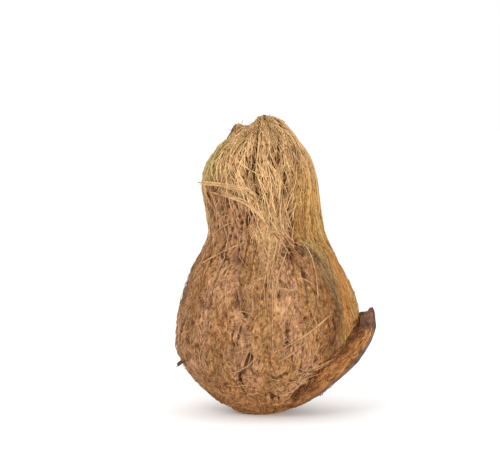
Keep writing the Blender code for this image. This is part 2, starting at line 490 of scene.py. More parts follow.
def give_values(obj, values):
    """Stores named values on the points of a piece, for its material to read."""
    for name, numbers in values.items():
        layer = obj.data.attributes.new(name, "FLOAT", "POINT")
        layer.data.foreach_set("value", np.asarray(numbers, np.float32).ravel())


def give_map(obj, name, coordinates):
    layer = obj.data.uv_layers.new(name=name, do_init=False)
    layer.data.foreach_set("uv", coordinates.astype(np.float32).ravel())


def ring_faces(rows, columns):
    """Quads between rings of points, and how far round and up each corner is."""
    row = np.arange(rows - 1)[:, None]
    column = np.arange(columns)[None, :]
    after = (column + 1) % columns
    quads = np.stack(
        [row * columns + column, row * columns + after, (row + 1) * columns + after, (row + 1) * columns + column],
        axis=2,
    ).reshape(-1, 4)
    u = np.stack(np.broadcast_arrays(column, column + 1, column + 1, column), axis=2) / columns
    v = np.stack(np.broadcast_arrays(row, row, row + 1, row + 1), axis=2) / (rows - 1)
    u = np.broadcast_to(u, (rows - 1, columns, 4)).reshape(-1)
    v = np.broadcast_to(v, (rows - 1, columns, 4)).reshape(-1)
    return quads, np.stack([u, v], axis=1)


def closed_rings(name, points, values):
    """A piece from rings of points, closed at both ends with a fan, with its maps and its values."""
    rows, columns = points.shape[:2]
    quads, corners = ring_faces(rows, columns)
    low = points[0].mean(axis=0)
    high = points[-1].mean(axis=0)
    verts = np.concatenate([points.reshape(-1, 3), [low, high]])
    column = np.arange(columns)
    after = (column + 1) % columns
    base = rows * columns
    bottom = np.stack([np.full(columns, base), after, column], axis=1)
    top_row = (rows - 1) * columns
    top = np.stack([np.full(columns, base + 1), top_row + column, top_row + after], axis=1)
    obj = mesh_of(name, verts, quads, np.concatenate([bottom, top]))
    fan_low = np.stack([column + 0.5, column + 1, column], axis=1).reshape(-1) / columns
    fan_high = np.stack([column + 0.5, column, column + 1], axis=1).reshape(-1) / columns
    v_low = np.tile([-0.002, 0.0, 0.0], columns)
    v_high = np.tile([1.002, 1.0, 1.0], columns)
    fans = np.stack([np.concatenate([fan_low, fan_high]), np.concatenate([v_low, v_high])], axis=1)
    turns = np.concatenate([corners, fans])
    give_map(obj, "grain", turns)
    give_map(obj, "OFBake", np.stack([turns[:, 0], 0.01 + 0.98 * turns[:, 1]], axis=1))
    ends = {key: np.concatenate([np.ravel(v), [np.mean(v[0]), np.mean(v[-1])]]) for key, v in values.items()}
    give_values(obj, ends)
    return obj


coat_values = zones(turn_grid, share_grid)
# Painted shade for the felt: darker in the pits, clefts and hollows, on low ground and in the crevice by the tongue.
crevice_shadow_here = (gap_to_line(bare.points[:, :, 0], height_grid, CREVICE) < 5 * MM) * coat_values["umber"]
low_ground_shade = smooth(-0.1 * MM, 1.5 * MM, -relief_grid)
coat_values["hollow"] = np.clip(0.8 * gaps + 0.45 * low_ground_shade + 0.5 * crevice_shadow_here, 0, 1)
# Painted shade: the felt under the tuft's ropes is darkened with umber, so the gaps between them read dark.
under_tuft_shade = smooth(0.35, 0.8, coat_values["straw"]) * (1 - coat_values["ochre"])
under_tuft_shade = under_tuft_shade * (1 - 0.8 * smooth(160 * MM, 172 * MM, height_grid))
coat_values["umber"] = np.clip(coat_values["umber"] + 0.42 * under_tuft_shade, 0, 1)
coat_piece = closed_rings("coir_coat", coat_pitted.points, coat_values)


# Colours of dry husk: dark and light ends of each kind
FELT_DARK = (0.20, 0.080, 0.025, 1)
FELT_LIGHT = (0.63, 0.345, 0.178, 1)
STRAW_DARK = (0.31, 0.150, 0.045, 1)
STRAW_LIGHT = (0.72, 0.475, 0.232, 1)
OCHRE_DARK = (0.26, 0.090, 0.018, 1)
OCHRE_LIGHT = (0.64, 0.285, 0.072, 1)
ASH_DARK = (0.068, 0.043, 0.020, 1)
ASH_LIGHT = (0.28, 0.185, 0.098, 1)
MOSS_DARK = (0.22, 0.150, 0.042, 1)
MOSS_LIGHT = (0.58, 0.430, 0.165, 1)
# The dark umber is also the painted shade laid in pits, hollows and splits.
SHADE_AND_UMBER_DARK = (0.066, 0.022, 0.006, 1)
UMBER_LIGHT = (0.30, 0.100, 0.028, 1)


def socket(group, name, way, kind, value=None):
    made = group.interface.new_socket(name=name, in_out=way, socket_type=kind)
    if value is not None:
        made.default_value = value


def mixed(tree, factor, first, second):
    """A colour mix of two outputs or fixed colours."""
    node = tree.nodes.new("ShaderNodeMix")
    node.data_type = "RGBA"
    tree.links.new(factor, node.inputs["Factor"])
    for place, source in ((6, first), (7, second)):
        if isinstance(source, tuple):
            node.inputs[place].default_value = source
        else:
            tree.links.new(source, node.inputs[place])
    return node.outputs[2]


def husk_colour_group():
    """Colour of dry husk: each kind runs from its dark to its light end by Tone."""
    group = bpy.data.node_groups.new("husk colour", "ShaderNodeTree")
    socket(group, "Tone", "INPUT", "NodeSocketFloat", 0.5)
    for kind in ("straw", "ochre", "ash", "moss", "umber"):
        socket(group, kind, "INPUT", "NodeSocketFloat", 0.0)
    socket(group, "Color", "OUTPUT", "NodeSocketColor")
    given = group.nodes.new("NodeGroupInput")
    result = group.nodes.new("NodeGroupOutput")
    tone = given.outputs["Tone"]
    colour = mixed(group, tone, FELT_DARK, FELT_LIGHT)
    kinds = {
        "straw": (STRAW_DARK, STRAW_LIGHT),
        "ochre": (OCHRE_DARK, OCHRE_LIGHT),
        "ash": (ASH_DARK, ASH_LIGHT),
        "moss": (MOSS_DARK, MOSS_LIGHT),
        "umber": (SHADE_AND_UMBER_DARK, UMBER_LIGHT),
    }
    for kind, (dark, light) in kinds.items():
        own = mixed(group, tone, dark, light)
        colour = mixed(group, given.outputs[kind], colour, own)
    group.links.new(colour, result.inputs["Color"])
    return group


husk_colour = husk_colour_group()


def value_of(tree, name):
    node = tree.nodes.new("ShaderNodeAttribute")
    node.attribute_name = name
    return node.outputs["Fac"]


def worked(tree, operation, *sources):
    """A maths node on outputs or plain numbers."""
    node = tree.nodes.new("ShaderNodeMath")
    node.operation = operation
    node.use_clamp = operation == "ADD"
    for place, source in enumerate(sources):
        if isinstance(source, (int, float)):
            node.inputs[place].default_value = source
        else:
            tree.links.new(source, node.inputs[place])
    return node.outputs["Value"]


def new_material(name, roughness):
    material = bpy.data.materials.new(name)
    material.use_nodes = True
    shader = material.node_tree.nodes["Principled BSDF"]
    shader.inputs["Roughness"].default_value = roughness
    shader.inputs["Specular IOR Level"].default_value = 0.25
    return material, material.node_tree, shader


def husk_colour_in(tree, tone):
    """Places the husk colour group, fed by the piece's own values."""
    node = tree.nodes.new("ShaderNodeGroup")
    node.node_tree = husk_colour
    tree.links.new(tone, node.inputs["Tone"])
    for kind in ("straw", "ochre", "ash", "moss", "umber"):
        tree.links.new(value_of(tree, kind), node.inputs[kind])
    return node.outputs["Color"]


def streaks(tree, around, along, detail=3.0):
    """Noise drawn out along the fibres, from the piece's grain map."""
    grain = tree.nodes.new("ShaderNodeUVMap")
    grain.uv_map = "grain"
    stretch = tree.nodes.new("ShaderNodeMapping")
    stretch.inputs["Scale"].default_value = (around, along, 1.0)
    noise = tree.nodes.new("ShaderNodeTexNoise")
    noise.inputs["Scale"].default_value = 1.0
    noise.inputs["Detail"].default_value = detail
    tree.links.new(grain.outputs["UV"], stretch.inputs["Vector"])
    tree.links.new(stretch.outputs["Vector"], noise.inputs["Vector"])
    return noise.outputs["Fac"]


def felt_material():
    """Matted coir and pith: streaked along the fibres, with painted shade in the pits and hollows."""
    material, tree, shader = new_material("coir felt", 0.92)
    fine = streaks(tree, 520.0, 70.0)
    broad = streaks(tree, 120.0, 26.0)
    tone = worked(tree, "MULTIPLY_ADD", fine, 1.5, -0.52)
    tone = worked(tree, "MULTIPLY_ADD", broad, 0.8, tone)
    # Painted shade: the felt is darkened towards deep umber in the pits, clefts, hollows and low ground.
    hollow = value_of(tree, "hollow")
    tone = worked(tree, "MULTIPLY_ADD", hollow, -0.6, tone)
    clamped = tree.nodes.new("ShaderNodeClamp")
    tree.links.new(tone, clamped.inputs["Value"])
    colour = husk_colour_in(tree, clamped.outputs["Result"])
    deep = mixed(tree, hollow, colour, SHADE_AND_UMBER_DARK)
    tree.links.new(deep, shader.inputs["Base Color"])
    bump = tree.nodes.new("ShaderNodeBump")
    bump.inputs["Strength"].default_value = 0.7
    bump.inputs["Distance"].default_value = 0.5 * MM
    tree.links.new(fine, bump.inputs["Height"])
    tree.links.new(bump.outputs["Normal"], shader.inputs["Normal"])
    return material


felt = felt_material()
coat_piece.data.materials.append(felt)
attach(coat_piece, "root")
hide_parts("coconut")


# ---- The matted coir ------------------------------------------------------------------------------
# Over the felt lie thousands of coarse fibres, a third to half a millimetre thick, in tufts of a few
# dozen that were pulled the same way. They cross one another, dip at their ends and bridge the pits.

STRAND_SIDES = 3
STRAND_FLOOR = 0.15 * MM


def flow(turn, share):
    """The way the fibres run, as an angle from straight up. They close on the seam above the waist and
    spread from it below."""
    z = height_at(share)
    off = off_turn(turn, SEAM_TURN)
    reach = np.exp(-((off / 0.15) ** 2))
    strength = np.where(off < 0, 0.48, 0.30)
    closing = -np.clip(off / 0.09, -1, 1) * bell(142 * MM, 26 * MM, z) * strength
    spreading = np.clip(off / 0.08, -1, 1) * bell(88 * MM, 20 * MM, z) * 0.45
    drift = 0.5 * lumps(turn * 0.5, share) * (1 - smooth(100 * MM, 130 * MM, z))
    return -(closing + spreading) * reach + drift * (1 - strip(turn, share))


def grow(ground, rng, turn, share, heading, length, steps, bend, wobble, follow=True):
    """Walks strands over the ground. Headings are kept to the flow's own turning as they go."""
    turns = np.empty((len(turn), steps))
    shares = np.empty((len(turn), steps))
    step = length / (steps - 1)
    was = flow(turn, share) if follow else 0
    for k in range(steps):
        turns[:, k] = turn
        shares[:, k] = share
        wide, tall = ground.row_scale(share)
        turn = turn + step * np.sin(heading) / np.maximum(wide, 12 * MM)
        share = np.clip(share + step * np.cos(heading) / tall, 0.001, 0.999)
        now = flow(turn, share) if follow else 0
        heading = heading + (now - was) + bend * step + rng.normal(0, wobble, len(turn))
        was = now
    return turns, shares


def strand_piece(name, points, normals, thickness, tones, values, taper=None):
    """Three sided strands along rows of points, each with its own thickness and tone."""
    count, steps = points.shape[:2]
    place = np.linspace(0, 1, steps)
    if taper is None:
        taper = np.minimum(1.0, 0.35 + 5 * np.minimum(place, 1 - place))
    ahead = np.gradient(points, axis=1)
    ahead /= np.maximum(np.linalg.norm(ahead, axis=2, keepdims=True), 1e-9)
    side = np.cross(normals, ahead)
    side /= np.maximum(np.linalg.norm(side, axis=2, keepdims=True), 1e-9)
    up = np.cross(ahead, side)
    radius = 0.5 * thickness[:, None] * taper[None, :]
    rings = []
    for corner in range(STRAND_SIDES):
        angle = math.pi / 2 + corner * 2 * math.pi / STRAND_SIDES
        offset = side * math.cos(angle) + up * math.sin(angle)
        rings.append(points + offset * radius[:, :, None])
    verts = np.stack(rings, axis=2).reshape(-1, 3)
    verts[:, 2] = np.maximum(verts[:, 2], STRAND_FLOOR)
    strand = np.arange(count)[:, None, None] * steps * STRAND_SIDES
    k = np.arange(steps - 1)[None, :, None] * STRAND_SIDES
    s = np.arange(STRAND_SIDES)[None, None, :]
    t = (s + 1) % STRAND_SIDES
    quads = np.stack(
        [strand + k + s, strand + k + t, strand + k + STRAND_SIDES + t, strand + k + STRAND_SIDES + s],
        axis=3,
    ).reshape(-1, 4)
    root = np.arange(count) * steps * STRAND_SIDES
    tip = root + (steps - 1) * STRAND_SIDES
    caps = np.concatenate([np.stack([root, root + 2, root + 1], 1), np.stack([tip, tip + 1, tip + 2], 1)])
    obj = mesh_of(name, verts, quads, caps)
    # Each strand has a strip of its own on the map.
    across = max(1, int(math.sqrt(count / 13.0)))
    down = math.ceil(count / across)
    cell_u = (np.arange(count) % across)[:, None, None] / across
    cell_v = (np.arange(count) // across)[:, None, None] / down
    kk = np.arange(steps - 1)[None, :, None] / (steps - 1)
    kn = np.arange(1, steps)[None, :, None] / (steps - 1)
    ss = np.arange(STRAND_SIDES)[None, None, :] / STRAND_SIDES
    sn = np.arange(1, STRAND_SIDES + 1)[None, None, :] / STRAND_SIDES
    wide = 0.94 / across
    high = 0.80 / down
    shape = (count, steps - 1, STRAND_SIDES)
    us = [np.broadcast_to(cell_u + wide * v, shape) for v in (kk, kk, kn, kn)]
    vs = [np.broadcast_to(cell_v + high * v, shape) for v in (ss, sn, sn, ss)]
    body = np.stack([np.stack(us, 3).reshape(-1), np.stack(vs, 3).reshape(-1)], axis=1)
    cap_u = np.concatenate([np.repeat(cell_u.ravel(), 3), np.repeat(cell_u.ravel() + wide, 3)])
    cap_v = np.tile(np.repeat(cell_v.ravel(), 3), 2) + np.tile([0, high / 2, high], 2 * count)
    give_map(obj, "OFBake", np.concatenate([body, np.stack([cap_u, cap_v], 1)]) + 0.0004)
    spread = {key: np.repeat(np.broadcast_to(v, (count, steps)).reshape(-1), STRAND_SIDES) for key, v in values.items()}
    spread["tone"] = np.repeat(np.broadcast_to(np.asarray(tones).reshape(count, -1), (count, steps)).reshape(-1), STRAND_SIDES)
    spread["along"] = np.repeat(np.broadcast_to(place[None, :], (count, steps)).reshape(-1), STRAND_SIDES)
    give_values(obj, spread)
    return obj


def strand_material():
    """A dry fibre: a tone of its own, blotched along its length."""
    material, tree, shader = new_material("coir strand", 0.8)
    place = tree.nodes.new("ShaderNodeTexCoord")
    noise = tree.nodes.new("ShaderNodeTexNoise")
    noise.inputs["Scale"].default_value = 620.0
    noise.inputs["Detail"].default_value = 1.0
    tree.links.new(place.outputs["Object"], noise.inputs["Vector"])
    blotch = worked(tree, "MULTIPLY_ADD", noise.outputs["Fac"], 1.4, -0.7)
    tone = worked(tree, "ADD", value_of(tree, "tone"), blotch)
    tree.links.new(husk_colour_in(tree, tone), shader.inputs["Base Color"])
    return material


strand = strand_material()


def finish_strands(obj):
    obj.data.materials.append(strand)
    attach(obj, "root")


def gap_at(turn, share):
    return coat.read(gaps, turn, share)


def open_over_gaps(rng, paths, heights):
    """Which strands stay clear of the pits and clefts, apart from a few that bridge them."""
    crossed = gap_at(paths, heights).max(axis=1)
    return crossed < rng.uniform(0.20, 1.0, len(paths)) ** 1.5


def mat_strands(seed, clusters, per_cluster, steps, length, thick, lift_high, unruly, curl, tone_base):
    """Clusters of strands that were pulled the same way. Lengths, thicknesses and lifts in millimetres."""
    rng = np.random.default_rng(seed)
    turn, share = coat.scatter(rng, clusters)
    count = clusters * per_cluster
    wide, tall = coat.row_scale(share)
    spread = rng.uniform(1.2, 5.0, clusters) * MM
    around = rng.normal(0, 1, count) * np.repeat(spread / np.maximum(wide, 20 * MM), per_cluster)
    along = rng.normal(0, 1, count) * np.repeat(1.6 * spread / tall, per_cluster)
    turns = np.repeat(turn, per_cluster) + around
    shares = np.clip(np.repeat(share, per_cluster) + along, 0.004, 0.996)
    z = height_at(shares)
    loose = (1 - 0.7 * smooth(105 * MM, 135 * MM, z)) * (1 - 0.8 * strip(turns, shares))
    cluster_angle = np.repeat(rng.normal(0, unruly, clusters), per_cluster)
    own_angle = rng.normal(0, 0.22, count)
    heading = flow(turns, shares) + (cluster_angle + own_angle) * loose
    heading += np.where(rng.uniform(0, 1, count) < 0.08, rng.uniform(-1.4, 1.4, count) * loose, 0)
    heading += np.where(rng.uniform(0, 1, count) < 0.5, 0, math.pi)
    bend = np.repeat(rng.normal(0, curl, clusters), per_cluster) + rng.normal(0, curl, count)
    lengths = rng.uniform(*length, count) * MM
    paths, heights = grow(coat, rng, turns, shares, heading, lengths, steps, bend, 0.08)
    keep = open_over_gaps(rng, paths, heights)
    paths, heights = paths[keep], heights[keep]
    count = len(paths)
    place = np.linspace(0, 1, steps)[None, :]
    base = rng.uniform(0, 1, count)[:, None]
    arch = rng.gamma(1.2, 0.14 * MM, count)[:, None] * np.sin(math.pi * place)
    dip = 0.40 * MM * (1 - np.minimum(1, 6 * np.minimum(place, 1 - place)))
    hole = gap_at(paths, heights)
    points, normals = coat.at(paths, heights, base * lift_high * MM + arch - dip - hole * 0.8 * MM)
    thickness = rng.uniform(*thick, count) * MM
    # Strands standing higher off the coat are painted lighter, and those over pits and hollows get painted shade.
    tones = tone_base + 0.24 * rng.normal(0, 1, count)[:, None] + 0.34 * base - 0.4 * hole
    return points, normals, thickness, np.clip(tones, 0, 1), zones(paths, heights)


FELT_PIECES = 4
for part in range(FELT_PIECES):
    made = mat_strands(41 + part, 560, 9, 6, (2.5, 7), (0.26, 0.50), 0.5, 0.36, 70, 0.30)
    finish_strands(strand_piece(f"coir_felt_{part + 1}", *made))
made = mat_strands(46, 420, 3, 12, (9, 24), (0.26, 0.50), 0.7, 0.7, 50, 0.50)
finish_strands(strand_piece("coir_over", *made))


# ---- The tuft -------------------------------------------------------------------------------------
# The husk left over the three eyes: long straw coloured fibres in ropes and clumps that run from the
# crown down to the waist, where they are pinched together at the front.

TUFT_PIECES = 3
ROPE_STRANDS = 7
TUFT_STEPS = 15


def tuft_strands(seed, ropes):
    rng = np.random.default_rng(seed)
    turn = rng.uniform(0, 1, ropes)
    share = rng.uniform(0.60, 0.97, ropes)
    clump = rng.normal(0, 0.20, ropes)
    count = ropes * ROPE_STRANDS
    wide, tall = coat.row_scale(share)
    rope_half = rng.uniform(0.3, 1.0, ropes) * MM
    coarse = rng.uniform(0.75, 1.35, ropes)
    turns = np.repeat(turn, ROPE_STRANDS) + rng.normal(0, 1, count) * np.repeat(rope_half / wide, ROPE_STRANDS)
    shares = np.repeat(share, ROPE_STRANDS) + rng.uniform(-0.04, 0.04, count)
    shares = np.clip(shares, 0.5, 0.990)
    heading = flow(turns, shares) + np.repeat(clump, ROPE_STRANDS) + rng.normal(0, 0.09, count) + math.pi
    length = rng.uniform(14, 46, count) * MM
    bend = np.repeat(rng.normal(0, 5, ropes), ROPE_STRANDS) + rng.normal(0, 7, count)
    paths, heights = grow(coat, rng, turns, shares, heading, length, TUFT_STEPS, bend, 0.05)
    fade = zones(paths, heights)["straw"].mean(axis=1)
    clear = gap_at(paths, heights).mean(axis=1) < rng.uniform(0.05, 0.55, count)
    keep = clear & (fade > rng.uniform(0.2, 0.6, count))
    paths, heights = paths[keep], heights[keep]
    place = np.linspace(0, 1, TUFT_STEPS)[None, :]
    rope_lift = np.repeat(rng.uniform(0.0, 1.1, ropes) * MM, ROPE_STRANDS)[keep][:, None]
    count = len(paths)
    base = rng.uniform(0, 1, count)[:, None] * 0.8 * MM + rope_lift * np.sin(math.pi * place) ** 0.5
    hole = gap_at(paths, heights)
    lift = base - 0.35 * MM * (1 - np.minimum(1, 8 * np.minimum(place, 1 - place))) - 0.6 * MM * hole
    points, normals = coat.at(paths, heights, lift)
    thickness = rng.uniform(0.55, 1.0, count) * np.repeat(coarse, ROPE_STRANDS)[keep] * MM
    # Parts of the strands lifted higher are painted lighter, and those over gaps get painted shade.
    tones = 0.54 + 0.20 * rng.normal(0, 1, count)[:, None] + 0.22 * (base / MM - 0.5) - 0.35 * hole
    tones = tones - 0.22 * strip(paths, heights)
    return points, normals, thickness, np.clip(tones, 0, 1), zones(paths, heights)


for part in range(TUFT_PIECES):
    finish_strands(strand_piece(f"tuft_ropes_{part + 1}", *tuft_strands(51 + part, 105)))


# ---- The torn crown -------------------------------------------------------------------------------
# Where the husk was pulled off at the stalk end the fibres were torn across. Their ends stand up in a
# few ragged clumps, the highest of them a little right of the middle.

CROWN_STRANDS = 600


def crown_strands(seed):
    rng = np.random.default_rng(seed)
    count = CROWN_STRANDS
    turn = rng.uniform(0, 1, count)
    share = 1 - 0.17 * np.sqrt(rng.uniform(0.0, 1, count))
    steps = 8
    root, normal = coat.at(turn, share, np.full(count, -0.8 * MM))
    height = rng.uniform(2.0, 4.5, count) * MM
    inward = np.stack([-normal[:, 0], -normal[:, 1], np.zeros(count)], axis=1)
    up = np.array([0, 0, 1.0])[None, :]
    way = 0.18 * normal + 0.15 * up + 0.9 * inward + rng.normal(0, 0.30, (count, 3))
    way /= np.linalg.norm(way, axis=1, keepdims=True)
    place = np.linspace(0, 1, steps)[None, :, None]
    curl = rng.normal(0, 0.15, (count, 1, 3)) * place**2
    points = root[:, None, :] + (way[:, None, :] * place + curl) * height[:, None, None]
    normals = np.broadcast_to(np.cross(way, rng.normal(0, 1, (count, 3)))[:, None, :], points.shape)
    normals = normals / np.linalg.norm(normals, axis=2, keepdims=True)
    thickness = rng.uniform(0.28, 0.55, count) * MM
    tones = np.clip(0.62 + 0.2 * rng.normal(0, 1, count)[:, None] + 0.15 * (place[:, :, 0] - 0.5), 0, 1)
    shares = np.broadcast_to(share[:, None], (count, steps))
    turns = np.broadcast_to(turn[:, None], (count, steps))
    return points, normals, thickness, tones, zones(turns, shares)


finish_strands(strand_piece("crown_ends", *crown_strands(61)))


# ---- The tongue of husk ---------------------------------------------------------------------------
# One thick strip of the outer husk was left hanging on at the lower right. It curls up and away from
# the nut: dark skin outside, orange fibres on its torn edges and inner side, and a ragged tip.

# Skin side from the base to the tip: x, z, middle in y, half width, thickness
TONGUE = np.array(
    (
        (10.0, 7.0, -2.0, 12.0, 6.0),
        (24.5, 5.6, -3.0, 17.5, 8.0),
        (40.2, 14.4, -5.0, 24.0, 11.0),
        (53.7, 25.0, -6.0, 28.0, 14.0),
        (62.5, 34.5, -5.0, 26.5, 14.5),
        (67.8, 43.0, -3.5, 21.5, 13.0),
        (71.6, 53.0, -2.0, 15.0, 10.0),
        (70.4, 64.5, -1.0, 8.5, 8.0),
    )
) * MM
TONGUE_ROUND = 50 * MM
TIP_SLANT = 2.2 * MM
TONGUE_ROWS = 150
TONGUE_COLUMNS = 160


def along_rows(rows, share):
    """Rows read from the smooth curve through them, at shares from 0 to 1."""
    place = np.asarray(share) * (len(rows) - 1)
    i = np.clip(np.floor(place).astype(int), 0, len(rows) - 2)
    t = (place - i)[..., None]
    before = rows[np.maximum(i - 1, 0)]
    start = rows[i]
    end = rows[i + 1]
    after = rows[np.minimum(i + 2, len(rows) - 1)]
    return 0.5 * (
        2 * start
        + (end - before) * t
        + (2 * before - 5 * start + 4 * end - after) * t**2
        + (3 * start - before - 3 * end + after) * t**3
    )


tongue_streaks = wavy(71, 60, 7)
tongue_fine = wavy(72, 150, 26)
tongue_frays = wavy(73, 34, 3)
tongue_cleft = wavy(74, 44, 9)
tongue_blocks = wavy(75, 30, 24)


def tongue_skin(turn, up):
    """Dark skin: all over the outer side, and folded over the front of the tip."""
    fine = tongue_fine(turn, up)
    ragged = 0.020 * tongue_blocks(0.3 + 0 * turn, up) + 0.008 * fine
    outer = smooth(0.660, 0.674, turn + ragged) * (1 - smooth(0.845, 0.86, turn + ragged))
    tip = smooth(0.845, 0.862, up + 0.02 * fine + 0.05 * (turn - 0.5)) * smooth(0.20, 0.24, turn)
    return np.maximum(outer, tip)


def tongue_gaps(turn, up):
    """Narrow splits between the fibre bundles of the torn sides."""
    return (1 - smooth(0.02, 0.26, np.abs(tongue_cleft(turn + 0.02 * tongue_streaks(turn, up), up)))) * (
        1 - smooth(0.80, 0.88, up)
    )


def tongue_ground():
    share = (np.arange(TONGUE_ROWS) + 0.5) / TONGUE_ROWS
    rows = along_rows(TONGUE, share)
    slope = np.gradient(rows[:, :2], axis=0)
    slope /= np.linalg.norm(slope, axis=1, keepdims=True)
    x, z, middle, half, thick = rows.T
    angle = np.arange(TONGUE_COLUMNS) / TONGUE_COLUMNS * 2 * math.pi
    across = np.sign(np.cos(angle)) * np.abs(np.cos(angle)) ** 0.55
    inward = 0.5 + 0.5 * np.sign(np.sin(angle)) * np.abs(np.sin(angle)) ** 0.6
    y = middle[:, None] + half[:, None] * across
    depth = thick[:, None] * inward
    px = x[:, None] - y**2 / (2 * TONGUE_ROUND) - slope[:, 1:2] * depth
    pz = z[:, None] + slope[:, 0:1] * depth
    ground = Ground(np.stack([px, y, pz], axis=2))
    turn, up = np.meshgrid(np.arange(TONGUE_COLUMNS) / TONGUE_COLUMNS, share)
    fibrous = 1 - tongue_skin(turn, up)
    relief = fibrous * (0.9 * MM * tongue_streaks(turn, up) + 0.5 * MM * tongue_fine(turn, up)) + 0.2 * MM
    relief = relief + (0.25 + 0.45 * fibrous) * MM * tongue_blocks(turn, up)
    relief = relief + (1 - fibrous) * 0.3 * MM * np.abs(tongue_streaks(turn, up * 2))
    relief = relief + 0.15 * MM * tongue_fine(turn, up * 0.4) - fibrous * tongue_gaps(turn, up) * 1.5 * MM
    points = ground.points + ground.normals * relief[:, :, None]
    fray = smooth(0.86, 1.0, up) * tongue_frays(turn, up) * 1.2 * MM
    fray = fray - smooth(0.84, 1.0, share)[:, None] * inward[None, :] * TIP_SLANT
    points[:, :, 2] += fray * slope[:, 1:2]
    points[:, :, 0] += fray * slope[:, 0:1]
    return Ground(points), turn, up, fibrous


tongue, tongue_turn, tongue_up, tongue_fibre = tongue_ground()


def tongue_zones(turn, up):
    """Orange fibre inside, red brown as painted shade on the side that faces the nut and in the low blocks, with dark
    skin outside.
    """
    inward = 0.5 + 0.5 * np.sin(turn * 2 * math.pi)
    fine = patches_small(turn, up)
    torn_end = bell(0.825, 0.03, up) * bell(0.66, 0.06, turn)
    blocks = tongue_blocks(turn, up)
    # Painted shade: the side facing the nut is darkened with umber.
    deep = smooth(0.40, 0.66, inward + 0.12 * fine) * (1 - smooth(0.8, 1.0, up))
    return {
        "straw": np.clip(0.15 + 0.2 * fine + 0.9 * torn_end, 0, 1),
        "ochre": np.clip(0.72 + 0.3 * fine - 0.6 * torn_end, 0, 1),
        "ash": 0 * up,
        "moss": 0.5 * torn_end,
        # Umber here is painted shade on the inner side and in the low blocks of the relief, over a little of the husk's
        # own.
        "umber": np.clip(0.12 + 0.85 * deep + 0.3 * smooth(0.1, 0.7, -fine) + 0.6 * smooth(0.1, 0.6, -blocks), 0, 1),
        "skin": tongue_skin(turn, up),
    }


tongue_values = tongue_zones(tongue_turn, tongue_up)
# Painted shade in the splits between the fibre bundles.
tongue_values["hollow"] = tongue_fibre * tongue_gaps(tongue_turn, tongue_up)
tongue_piece = closed_rings("husk_tongue", tongue.points, tongue_values)

SKIN_DARK = (0.018, 0.009, 0.006, 1)
SKIN_LIGHT = (0.19, 0.092, 0.050, 1)


def tongue_material():
    """Torn orange husk with the fruit's dried, dark brown skin on its outer side."""
    material, tree, shader = new_material("husk tongue", 0.8)
    fine = streaks(tree, 150.0, 9.0)
    broad = streaks(tree, 30.0, 5.0)
    place = tree.nodes.new("ShaderNodeTexCoord")
    mottle = tree.nodes.new("ShaderNodeTexNoise")
    mottle.inputs["Scale"].default_value = 170.0
    mottle.inputs["Detail"].default_value = 4.0
    mottle.inputs["Roughness"].default_value = 0.7
    tree.links.new(place.outputs["Object"], mottle.inputs["Vector"])
    tone = worked(tree, "MULTIPLY_ADD", fine, 1.4, -0.5)
    tone = worked(tree, "MULTIPLY_ADD", broad, 0.7, tone)
    clamped = tree.nodes.new("ShaderNodeClamp")
    tree.links.new(tone, clamped.inputs["Value"])
    colour = husk_colour_in(tree, clamped.outputs["Result"])
    # Painted shade: the splits are darkened towards deep umber.
    deep = mixed(tree, value_of(tree, "hollow"), colour, SHADE_AND_UMBER_DARK)
    skin_tone = worked(tree, "MULTIPLY_ADD", mottle.outputs["Fac"], 4.2, -1.75)
    skin_tone = worked(tree, "MULTIPLY_ADD", broad, 0.6, skin_tone)
    skin_clamped = tree.nodes.new("ShaderNodeClamp")
    tree.links.new(skin_tone, skin_clamped.inputs["Value"])
    skin_colour = mixed(tree, skin_clamped.outputs["Result"], SKIN_DARK, SKIN_LIGHT)
    skin = value_of(tree, "skin")
    tree.links.new(mixed(tree, skin, deep, skin_colour), shader.inputs["Base Color"])
    rough = worked(tree, "MULTIPLY_ADD", skin, -0.16, 0.88)
    tree.links.new(rough, shader.inputs["Roughness"])
    bump = tree.nodes.new("ShaderNodeBump")
    bump.inputs["Strength"].default_value = 0.6
    bump.inputs["Distance"].default_value = 0.5 * MM
    tree.links.new(worked(tree, "ADD", fine, mottle.outputs["Fac"]), bump.inputs["Height"])
    tree.links.new(bump.outputs["Normal"], shader.inputs["Normal"])
    return material


tongue_piece.data.materials.append(tongue_material())
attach(tongue_piece, "root")


def tongue_strands(seed, count):
    """Fibres along the tongue's torn edges and inner side, some of them standing off it."""
    rng = np.random.default_rng(seed)
    turn = rng.uniform(-0.02, 0.73, count)
    share = rng.uniform(0.06, 0.86, count)
    heading = rng.normal(0, 0.22, count) + np.where(rng.uniform(0, 1, count) < 0.5, 0, math.pi)
    length = rng.uniform(7, 26, count) * MM
    steps = 9
    paths, heights = grow(tongue, rng, turn, share, heading, length, steps, rng.normal(0, 10, count), 0.06, follow=False)
    bare_skin = tongue_skin(np.mod(paths, 1.0), heights).mean(axis=1)
    split = tongue_gaps(np.mod(paths, 1.0), heights).mean(axis=1)
    keep = (bare_skin < 0.25) & (split < rng.uniform(0.1, 0.8, count))
    paths, heights = paths[keep], heights[keep]
    count = len(paths)
    place = np.linspace(0, 1, steps)[None, :]
    base = rng.uniform(-0.1, 0.6, count)[:, None] * MM
    lift = base + rng.gamma(1.0, 0.25 * MM, count)[:, None] * np.sin(math.pi * place)
    points, normals = tongue.at(paths, heights, lift)
    thickness = rng.uniform(0.32, 0.70, count) * MM
    # Strands standing further off the tongue are painted lighter.
    tones = np.clip(0.42 + 0.28 * rng.normal(0, 1, count)[:, None] + 0.25 * base / MM, 0, 1)
    values = tongue_zones(np.mod(paths, 1.0), heights)
    values.pop("skin")
    return points, normals, thickness, tones, values


finish_strands(strand_piece("tongue_strands", *tongue_strands(81, 1500)))


# ---- Loose strands --------------------------------------------------------------------------------
# Single long fibres lie over everything else. The most striking ones are listed one by one: a bundle that
# sticks out at the left of the neck, the strands down the seam and the long ones that cross the nut.

